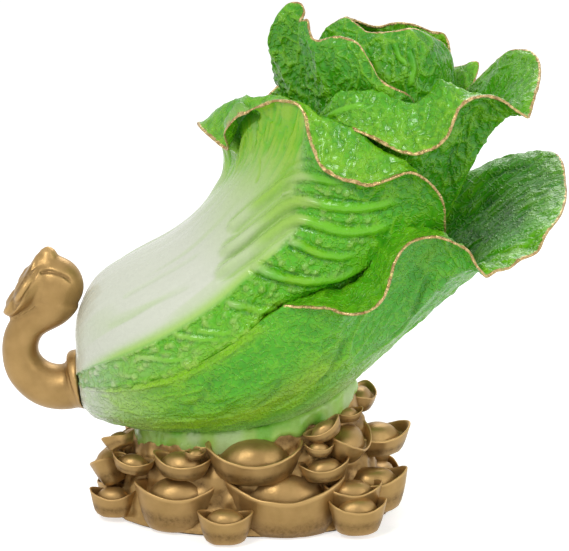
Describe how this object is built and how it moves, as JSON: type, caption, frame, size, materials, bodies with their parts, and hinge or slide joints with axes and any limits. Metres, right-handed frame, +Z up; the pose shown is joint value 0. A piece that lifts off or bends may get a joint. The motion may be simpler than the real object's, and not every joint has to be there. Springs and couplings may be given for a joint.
{
  "type": "cast resin cabbage ornament",
  "caption": "Leaning cabbage ornament with flared, gold-edged leaves and a curled gold stem, resting on a pile of boat-shaped ingots.",
  "frame": {"origin": "centre of the felt pad's underside, in the plane that the ornament stands on", "axes": "+X from the curled stem at the butt to the flared leaves, -Y toward the pictured front, +Z up"},
  "size_m": [0.2833, 0.1627, 0.2623],
  "materials": {
    "core_resin": "plain cast resin, hidden",
    "leaf_green": "glossy lacquer over green paint fading to white at the stalk, thin gold line on the rims",
    "heart_green": "glossy lacquer over green paint, thin gold line on the rims",
    "saddle_green": "glossy lacquer over pale green paint",
    "ingot_gold": "antique gold paint over cast resin, bright worn edges",
    "mound_gold": "rough dark gold paint over cast resin",
    "hook_gold": "antique gold paint over cast resin, bright worn edges",
    "felt": "glued felt",
    "pin_steel": "plain ground"
  },
  "bodies": {
    "root": {"cabbage_core": "core_resin", "front_upper_leaf": "leaf_green", "front_lower_leaf": "leaf_green", "back_leaf": "leaf_green", "second_front_leaf": "leaf_green", "second_back_leaf": "leaf_green", "heart_front_leaf": "heart_green", "heart_right_leaf": "heart_green", "heart_back_leaf": "heart_green", "belly_saddle": "saddle_green", "base_mound": "mound_gold", "felt_pad": "felt", "locating_pin_left": "pin_steel", "locating_pin_right": "pin_steel", "hook_stem": "hook_gold", "hook_collar": "hook_gold", "hook_head": "hook_gold", "hook_cloud_plate": "hook_gold", "hook_scroll_lower": "hook_gold", "hook_scroll_front": "hook_gold", "hook_scroll_rear": "hook_gold", "hook_crest": "hook_gold", "ingot_01": "ingot_gold", "ingot_02": "ingot_gold", "ingot_03": "ingot_gold", "ingot_04": "ingot_gold", "ingot_05": "ingot_gold", "ingot_06": "ingot_gold", "ingot_07": "ingot_gold", "ingot_08": "ingot_gold", "ingot_09": "ingot_gold", "ingot_10": "ingot_gold", "ingot_11": "ingot_gold", "ingot_12": "ingot_gold", "ingot_13": "ingot_gold", "ingot_14": "ingot_gold", "ingot_15": "ingot_gold", "ingot_16": "ingot_gold", "ingot_17": "ingot_gold", "ingot_18": "ingot_gold", "ingot_19": "ingot_gold", "ingot_20": "ingot_gold", "ingot_21": "ingot_gold", "ingot_22": "ingot_gold", "ingot_23": "ingot_gold", "ingot_24": "ingot_gold", "ingot_25": "ingot_gold", "ingot_26": "ingot_gold", "ingot_27": "ingot_gold", "ingot_28": "ingot_gold", "ingot_29": "ingot_gold", "ingot_30": "ingot_gold", "ingot_31": "ingot_gold", "ingot_32": "ingot_gold", "ingot_33": "ingot_gold", "ingot_34": "ingot_gold"}
  },
  "joints": []
}
